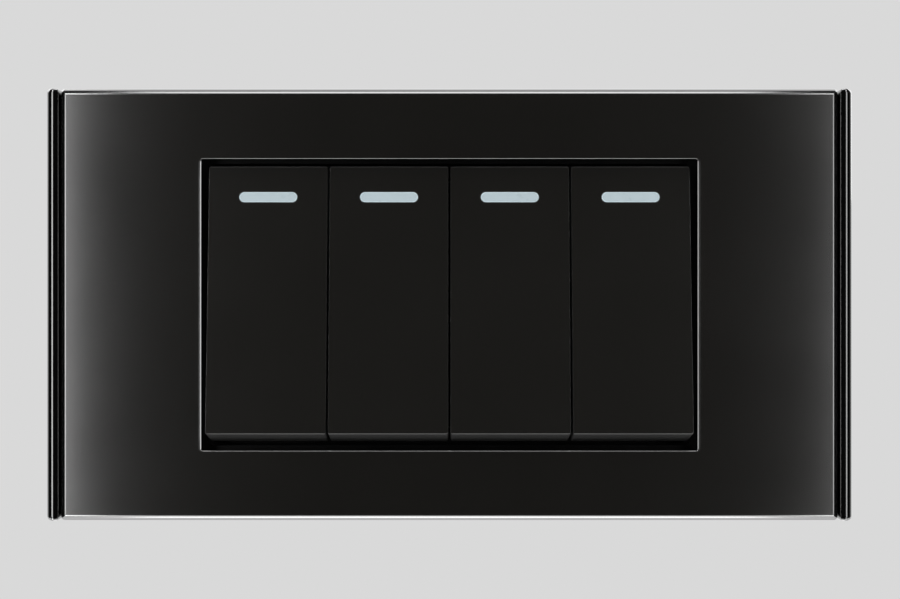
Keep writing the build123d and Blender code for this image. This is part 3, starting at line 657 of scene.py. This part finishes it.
class SWITCH_OT_side_trims(PieceOperator, bpy.types.Operator):
    """Build the side trims: a closed section carried up the plate, with its ends rounded over"""

    bl_idname = "switch.side_trims"
    bl_label = "Side trims"

    def bar(self, shape, sign, inner, low, high):
        """Bar with a round outer edge, a face that falls to the plate and a small round lip beside it.

        The section is an arc of trim_round from the outer wall to the slope's normal, a straight fall and
        an arc of trim_lip to the inner wall. Each end narrows to about a half over a quarter circle.
        """
        width, big, small, slope = shape.trim_width, shape.trim_round, shape.trim_lip, shape.trim_slope
        crest = np.array([width - big, low.y + big])
        fall = (width - big - small - (big - small) * math.sin(slope)) / math.cos(slope)
        lip = np.array([small, crest[1] + fall * math.sin(slope) - (big - small) * math.cos(slope)])
        turn = np.linspace(0.0, np.pi / 2 + slope, 25)
        outer_arc = crest + big * np.column_stack([np.cos(turn), -np.sin(turn)])
        turn = np.linspace(np.pi / 2 + slope, np.pi, 9)
        inner_arc = lip + small * np.column_stack([np.cos(turn), -np.sin(turn)])
        bevel, back = shape.trim_bevel, high.y
        foot = [[0.0, back - bevel], [bevel, back], [width - bevel, back], [width, back - bevel]]
        section = np.concatenate([outer_arc, inner_arc, foot])
        inset, rise = quarter_round(shape.trim_end)
        place = low.z + shape.trim_end - rise
        between = np.linspace(low.z, high.z, 9)[1:-1]
        z = np.concatenate([place[::-1], between, -place])
        closing = np.concatenate([inset[::-1], np.zeros_like(between), inset])
        middle = np.array([width / 3, back])
        # An end loses this share of its width, and hardly any depth.
        lost = 0.515
        reach = np.array([shape.trim_end / lost, 8 * (back - low.y)])
        flat = middle + (section[None] - middle) * (1.0 - closing[:, None, None] / reach)
        heights = np.broadcast_to(z[:, None, None], flat.shape[:2] + (1,))
        grid = np.concatenate([sign * (inner + flat[..., :1]), flat[..., 1:], heights], axis=-1)
        return grid_shell(grid, False)

    def build(self, shape, finish):
        surface = gloss_lacquer("trim_gloss", finish.trim_black, 0.08)
        root_back = -1.0 * MM
        pieces = []
        for node, sign in (("side_trim_left", -1), ("side_trim_right", 1)):
            low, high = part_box(node)
            bar_inner = max(high.x, -low.x) - shape.trim_width
            foot_inner = bar_inner - shape.foot_reach
            root_outer = foot_inner + shape.tongue_root
            spans = [(foot_inner, bar_inner + shape.overlap, -shape.foot_thickness, 0.0, low.z, high.z)]
            for middle in (-shape.tongue_place, shape.tongue_place):
                ends = (middle - shape.tongue_width / 2, middle + shape.tongue_width / 2)
                spans.append((foot_inner, root_outer, -shape.tongue_front, root_back, *ends))
            shells = [self.bar(shape, sign, bar_inner, low, high)]
            for near, far, front, back, bottom, top in spans:
                left, right = sorted((sign * near, sign * far))
                shells.append(block((left, front, bottom), (right, back, top), shape.foot_edge))
            shells += self.tongues(shape, sign, foot_inner)
            name = node.replace("side_", "") + "_surface"
            pieces.append(make_piece(name, shells, surface, "switch_body", node))
        return pieces

    def tongues(self, shape, sign, foot_inner):
        """Flat tongues with a square hole: rings from the outline to the hole and back, joined in a loop."""
        reach, overlap, half = shape.tongue_reach, shape.overlap, shape.tongue_hole / 2
        front, back = -shape.tongue_front, -shape.tongue_back
        outer = ((reach + overlap) / 2, shape.tongue_width / 2, OUTER_CORNER)
        hole = (half, half, INNER_CORNER)
        outer_x = sign * (foot_inner - (reach - overlap) / 2)
        hole_x = sign * (foot_inner - reach / 2)
        shells = []
        for up in (-1, 1):
            outer_z = up * shape.tongue_place
            hole_z = outer_z - up * shape.tongue_width / 4
            rings = [
                (*outer, back, outer_x, outer_z),
                (*outer, front, outer_x, outer_z),
                (*hole, front, hole_x, hole_z),
                (*hole, back, hole_x, hole_z),
            ]
            shells.append(grid_shell(ring_grid(PLAIN_COLUMNS, rings), True))
        return shells


def placed(shells, shape, gang):
    """Shells built level about the pivot, turned about it to rest and moved to their gang."""
    low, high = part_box(f"rocker_{gang}")
    c, s = math.cos(shape.rest_tilt), math.sin(shape.rest_tilt)
    lean = np.array([[1.0, 0.0, 0.0], [0.0, c, s], [0.0, -s, c]])
    pivot = np.array([(low.x + high.x) / 2, shape.pivot_y, 0.0])
    return [(points @ lean.T + pivot, faces) for points, faces in shells]


def gang_pieces(kind, shells, surface, shape):
    """One piece for each gang, which stands for the gang's node of that kind and rides on its rocker."""
    pieces = []
    for gang in GANGS:
        node, body = f"{kind}_{gang}", f"rocker_body_{gang}"
        pieces.append(make_piece(f"{node}_surface", placed(shells, shape, gang), surface, body, node))
    return pieces


class SWITCH_OT_rockers(PieceOperator, bpy.types.Operator):
    """Build the rockers: a profile from the strip's slot over the face, round the skirt and back inside"""

    bl_idname = "switch.rockers"
    bl_label = "Rockers"

    def build(self, shape, finish):
        # Painted shade on the rockers' walls, and painted light on their lower ends, which face down.
        walls = (finish.shaded_wall, finish.lit_rocker_end, 0.42, -0.99, -0.97)
        face = (0.0, -math.cos(shape.rest_tilt), math.sin(shape.rest_tilt))
        surface = gloss_lacquer("rocker_gloss", finish.rocker_black, 0.11, walls, face)
        front = -shape.pivot_depth
        skirt = front + shape.rocker_skirt
        skin = front + shape.rocker_skin
        slope = math.tan(shape.end_draft)
        half_x, half_z = shape.rocker_width / 2, shape.rocker_length / 2

        def outer(inset, depth, side=1.0):
            inset, depth = np.broadcast_arrays(np.asarray(inset, float), np.asarray(depth, float))
            corner = np.maximum(shape.rocker_corner - inset, LEAST_CORNER)
            return np.broadcast_arrays(
                half_x - inset * side, half_z + (depth - front) * slope - inset, corner, depth, 0.0, 0.0
            )

        def slot(offset, depth):
            slot_x = shape.strip_length / 2 + shape.strip_gap
            slot_z = shape.strip_height / 2 + shape.strip_gap
            return np.broadcast_arrays(
                slot_x + offset, slot_z + offset, slot_z + offset, depth, 0.0, shape.strip_offset
            )

        lip, wall, bevel = shape.slot_lip, shape.rocker_wall, shape.skirt_bevel
        lip_inset, lip_rise = quarter_round(lip)
        inset, rise = quarter_round(shape.rocker_edge)
        sharp = shape.rocker_side_edge / shape.rocker_edge
        profile = [
            slot(lip_inset, front + lip - lip_rise),
            slot(lip + SUPPORT, front),
            outer(shape.rocker_edge + SUPPORT, front, sharp),
            outer(inset[::-1], front + shape.rocker_edge - rise[::-1], sharp),
            outer(0.0, front + shape.rocker_edge + SUPPORT),
            outer(0.0, skirt - bevel),
            outer(bevel, skirt),
            outer(wall - bevel, skirt),
            outer(wall, skirt - bevel),
            outer(wall, skin),
            slot(0.0, skin),
        ]
        columns = outline_columns(even_steps(9), even_steps(9), 10)
        shells = [grid_shell(ring_grid(columns, profile_rings(profile)), True)]
        shells += self.bearings(shape, skin)
        shells.append(self.barrel(shape, skin))
        return gang_pieces("rocker", shells, surface, shape)

    def bearings(self, shape, skin):
        """Two tapered ears behind the face, each with a round pivot pin."""
        root, tip, depth = shape.ear_root / 2, shape.ear_tip / 2, shape.ear_depth
        ear = [(skin, -root), (skin, root), (depth, tip), (depth, -tip)]
        turn = np.linspace(0.0, 2 * np.pi, 48, endpoint=False)
        pin = shape.pin_radius * np.column_stack([np.cos(turn), np.sin(turn)])
        shells = []
        for sign in (-1, 1):
            shells.append(prism(ear, sign * shape.ear_inner, sign * shape.ear_outer))
            shells.append(prism(pin, sign * shape.ear_outer, sign * shape.pin_end))
        return shells

    def barrel(self, shape, skin):
        """Square tube for the plunger, closed at the skin: rings down its outside and up its bore."""
        tube = (shape.barrel_half, shape.barrel_half, OUTER_CORNER)
        bore = (shape.bore_half, shape.bore_half, INNER_CORNER)
        rings = [
            (*tube, skin, 0, 0),
            (*tube, shape.barrel_end, 0, 0),
            (*bore, shape.barrel_end, 0, 0),
            (*bore, skin + shape.barrel_floor, 0, 0),
        ]
        return grid_shell(ring_grid(PLAIN_COLUMNS, rings), False)


class SWITCH_OT_indicator_strips(PieceOperator, bpy.types.Operator):
    """Build the pale strips: pill-shaped rings that close over a rounded edge, with a flange behind"""

    bl_idname = "switch.indicator_strips"
    bl_label = "Indicator strips"

    def build(self, shape, finish):
        surface = pale_lens("indicator_pale", finish.strip_pale)
        front = -shape.pivot_depth - shape.strip_proud
        skin = -shape.pivot_depth + shape.rocker_skin
        half_x, half_z = shape.strip_length / 2, shape.strip_height / 2
        inset, rise = quarter_round(shape.strip_edge)
        offset = np.concatenate([[0.0, 0.0], inset, [shape.strip_edge + SUPPORT]])
        depth = np.concatenate(
            [[skin, front + shape.strip_edge + SUPPORT], front + shape.strip_edge - rise, [front]]
        )
        half_x, half_z = half_x - offset, half_z - offset
        rings = np.broadcast_arrays(half_x, half_z, half_z, depth, 0.0, shape.strip_offset)
        columns = outline_columns(even_steps(7), even_steps(1), 10)
        pill = grid_shell(ring_grid(columns, profile_rings([rings])), False)
        flange_x, flange_z = shape.flange_length / 2, shape.flange_height / 2
        flange = block(
            (-flange_x, skin, shape.strip_offset - flange_z),
            (flange_x, skin + shape.flange_thickness, shape.strip_offset + flange_z),
            shape.flange_edge,
        )
        return gang_pieces("indicator_strip", [pill, flange], surface, shape)


class SWITCH_OT_plunger_springs(PieceOperator, bpy.types.Operator):
    """Build the plunger springs: a round wire along a helix, one for each gang"""

    bl_idname = "switch.plunger_springs"
    bl_label = "Plunger springs"

    def build(self, shape, finish):
        surface = drawn_metal("spring_steel", finish.steel, 0.3, LINES_UPRIGHT, 0.25)
        seat = shape.rocker_skin - shape.pivot_depth + shape.barrel_floor
        shoulder = shape.plunger_tail - SUPPORT
        shells = [coil(shape.spring_radius, shape.spring_wire / 2, seat, shoulder, turns=3)]
        ends = (np.array([[0.0, seat, 0.0], [0.0, shoulder, 0.0]]), [])
        travel = {row["name"]: row.get("range_m") for row in frame["record"]["behaviour"]["joints"]}
        pieces = gang_pieces("plunger_spring", shells, surface, shape)
        for gang, piece in zip(GANGS, pieces):
            joint = f"plunger_slide_{gang}"
            (first, last), _ = placed([ends], shape, gang)[0]
            keep = 1.0 - travel[joint][1] / (shoulder - seat)
            tuple(last - first)
            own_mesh(piece)
        return pieces


class SWITCH_OT_inner_parts(PieceOperator, bpy.types.Operator):
    """Give the support frame, the modules and the contact set their finishes"""

    bl_idname = "switch.inner_parts"
    bl_label = "Inner parts"

    def build(self, shape, finish):
        # Painted shade: the parts in the recess keep only this share of their colour on faces towards the
        # room.
        recess = {"front": 0.06, "gloss": 0.15}
        plastics = {
            "frame_plastic": (finish.frame_black, 0.34, 0.000004, recess),
            "module_dark": (finish.module_dark, 0.46, 0.000006, recess),
            "module_grey": (finish.module_grey, 0.52, 0.000008, {}),
            "plunger_plastic": (finish.plunger_cream, 0.38, 0.000002, {}),
        }
        metals = {
            "blade_bronze": (finish.bronze, 0.32, LINES_UPRIGHT, 0.35),
            "terminal_brass": (finish.brass, 0.33, LINES_UPRIGHT, 0.4),
            "contact_silver": (finish.silver, 0.28, LINES_ACROSS, 0.25),
            "screw_steel": (finish.zinc, 0.36, LINES_ACROSS, 0.35),
        }
        surfaces = {slot: drawn_metal(slot, *values) for slot, values in metals.items()}
        for slot, (rgb, roughness, texture, options) in plastics.items():
            surfaces[slot] = moulded_plastic(slot, rgb, roughness, texture, **options)
        dressed = 0
        for row in frame["record"]["subparts"]:
            node = frame["nodes"][row["node"]]
            if row["material_slot"] in surfaces:
                node.data.materials.clear()
                node.data.materials.append(surfaces[row["material_slot"]])
                dressed += 1
        return dressed


# Stage


def softbox(name, place, aim, size, radiance, gloss_only):
    """Rectangular light of a given radiance, turned to face a point; it may show in gloss only."""
    data = bpy.data.lights.new(name, "AREA")
    data.shape = "RECTANGLE"
    data.size, data.size_y = size
    data.energy = 4.0 * size[0] * size[1] * radiance
    lamp = bpy.data.objects.new(name, data)
    lamp.location = place
    lamp.rotation_euler = (Vector(aim) - Vector(place)).to_track_quat("-Z", "Y").to_euler()
    lamp.visible_camera = False
    lamp.visible_diffuse = not gloss_only
    bpy.context.scene.collection.objects.link(lamp)


class SWITCH_OT_stage(bpy.types.Operator):
    """Set up the pale floor, the softboxes, the room and the camera"""

    bl_idname = "switch.stage"
    bl_label = "Stage"
    bl_options = {"REGISTER", "UNDO"}

    def execute(self, context):
        stage = context.scene.switch_stage
        self.floor(stage)
        self.lights(stage)
        self.world(stage)
        self.camera(context.scene, stage)
        return {"FINISHED"}

    def floor(self, stage):
        """Pale floor that the camera sees a little brighter."""
        floor = Finish("floor_pale")
        tone = floor.noise(14.0, 3.0)
        camera_ray = floor.add("ShaderNodeLightPath", out="Is Camera Ray")
        floor.set(
            Base_Color=floor.blend(tone, shade(stage.backdrop, 0.98), shade(stage.backdrop, 1.02)),
            Roughness=0.8,
            Emission_Color=floor.blend(camera_ray, BLACK, shade(stage.backdrop, stage.floor_glow)),
            Emission_Strength=1.0,
        )
        reach, height = stage.floor_reach, -stage.floor_drop
        corners = [(x * reach, y * reach, height) for x, y in ((-1, -1), (1, -1), (1, 1), (-1, 1))]
        mesh = bpy.data.meshes.new("floor")
        mesh.from_pydata(corners, [], [(0, 1, 2, 3)])
        mesh.materials.append(floor.material)
        sheet = bpy.data.objects.new("floor", mesh)
        bpy.context.scene.collection.objects.link(sheet)

    def lights(self, stage):
        """Softboxes as rows of name, place, aim, size, radiance and whether only the gloss shows them."""
        left, right, middle = stage.left_light, stage.right_light, (0.0, 0.0, 0.0)
        tall, small, square = (0.17, 0.25), (0.10, 0.12), (0.4, 0.4)
        over, under = (0.30, 0.33), (0.30, 0.26)
        rows = [
            ("left_softbox", (-0.2712, -0.4704, 0.0), (-0.0092, -0.0294, 0.0), tall, left, False),
            ("right_softbox", (0.2788, -0.4704, 0.0), (0.0168, -0.0294, 0.0), tall, right, False),
        ]
        for side, radiance in ((-1, left), (1, right)):
            for up in (-1, 1):
                place, aim = (side * 0.225, -0.47, up * 0.185), (side * 0.07, -0.009, up * 0.04)
                rows.append((f"corner_softbox_{side}_{up}", place, aim, small, radiance, True))
        rows += [
            ("top_softbox", (0.0, -0.2993, 0.3809), (0.0, -0.0383, -0.0191), over, stage.top_light, False),
            ("bottom_softbox", (0.0, -0.27, -0.40), (0.0, -0.009, 0.0), under, stage.bottom_light, False),
            ("rear_left_softbox", (-0.45, 0.55, 0.45), middle, square, stage.rear_left_light, False),
            ("rear_right_softbox", (0.5, 0.45, 0.25), middle, square, stage.rear_right_light, False),
        ]
        for row in rows:
            softbox(*row)

    def world(self, stage):
        """Room with soft light all round, where the gloss mirrors dark before the switch and pale behind it.

        The camera sees the pale backdrop everywhere.
        """
        world = bpy.data.worlds.new("studio_room")
        world.use_nodes = True
        bpy.context.scene.world = world
        room = Finish("studio_room", world.node_tree)
        ground = world.node_tree.nodes["Background"]
        backdrop = tuple(stage.backdrop)
        heading = room.add("ShaderNodeTexCoord", out="Generated")
        behind = room.span(room.part(heading, "Y"), -0.05, 0.3, 0.0, 1.0)
        camera_ray = room.add("ShaderNodeLightPath", out="Is Camera Ray")
        rays = camera_ray.socket.node.outputs
        mirrored = Value(room, rays["Is Glossy Ray"]) + Value(room, rays["Is Transmission Ray"])
        soft = room.blend(behind, (stage.front_fill,) * 3, (stage.rear_fill,) * 3)
        sharp = room.blend(behind, (stage.front_dark,) * 3, backdrop)
        light = room.blend(room.span(mirrored, 0.0, 1.0, 0.0, 1.0), soft, sharp)
        room.feed(ground.inputs["Color"], room.blend(camera_ray, light, backdrop))
        ground.inputs["Strength"].default_value = 1.0

    def camera(self, scene, stage):
        """Camera straight before the switch."""
        data = bpy.data.cameras.new("camera")
        data.lens = stage.lens
        data.sensor_width = 36.0
        data.sensor_fit = "HORIZONTAL"
        data.clip_start = 0.01
        camera = bpy.data.objects.new("camera", data)
        camera.location = (stage.camera_x, -stage.camera_distance, stage.camera_z)
        camera.rotation_euler = (math.pi / 2, 0.0, 0.0)
        scene.collection.objects.link(camera)
        scene.camera = camera
        scene.view_settings.view_transform = "Standard"


class SWITCH_PT_panel(bpy.types.Panel):
    """Lists the switch's operators, sizes and colours"""

    bl_idname = "SWITCH_PT_panel"
    bl_label = "Light switch"
    bl_space_type = "VIEW_3D"
    bl_region_type = "UI"
    bl_category = "Switch"

    def draw(self, context):
        for step in STEPS:
            self.layout.operator(step.bl_idname)
        for group in (context.scene.switch_shape, context.scene.switch_finish, context.scene.switch_stage):
            box = self.layout.box()
            for key in group.bl_rna.properties.keys():
                if key not in {"rna_type", "name"}:
                    box.prop(group, key)


GROUPS = {"switch_shape": SwitchShape, "switch_finish": SwitchFinish, "switch_stage": SwitchStage}
STEPS = (
    SWITCH_OT_face_plate,
    SWITCH_OT_side_trims,
    SWITCH_OT_rockers,
    SWITCH_OT_indicator_strips,
    SWITCH_OT_plunger_springs,
    SWITCH_OT_inner_parts,
    SWITCH_OT_stage,
)


def register():
    """Registers the classes and hangs the property groups on the scene."""
    for cls in (*GROUPS.values(), *STEPS, SWITCH_PT_panel):
        bpy.utils.register_class(cls)
    for key, group in GROUPS.items():
        setattr(bpy.types.Scene, key, PointerProperty(type=group))


def unregister():
    """Takes the property groups and the classes away again."""
    for key in GROUPS:
        delattr(bpy.types.Scene, key)
    for cls in (SWITCH_PT_panel, *reversed(STEPS), *GROUPS.values()):
        bpy.utils.unregister_class(cls)


def main():
    """Builds everything in order."""
    register()
    bpy.ops.switch.face_plate()
    bpy.ops.switch.side_trims()
    bpy.ops.switch.rockers()
    bpy.ops.switch.indicator_strips()
    bpy.ops.switch.plunger_springs()
    bpy.ops.switch.inner_parts()
    bpy.ops.switch.stage()


if __name__ == "__main__":
    main()
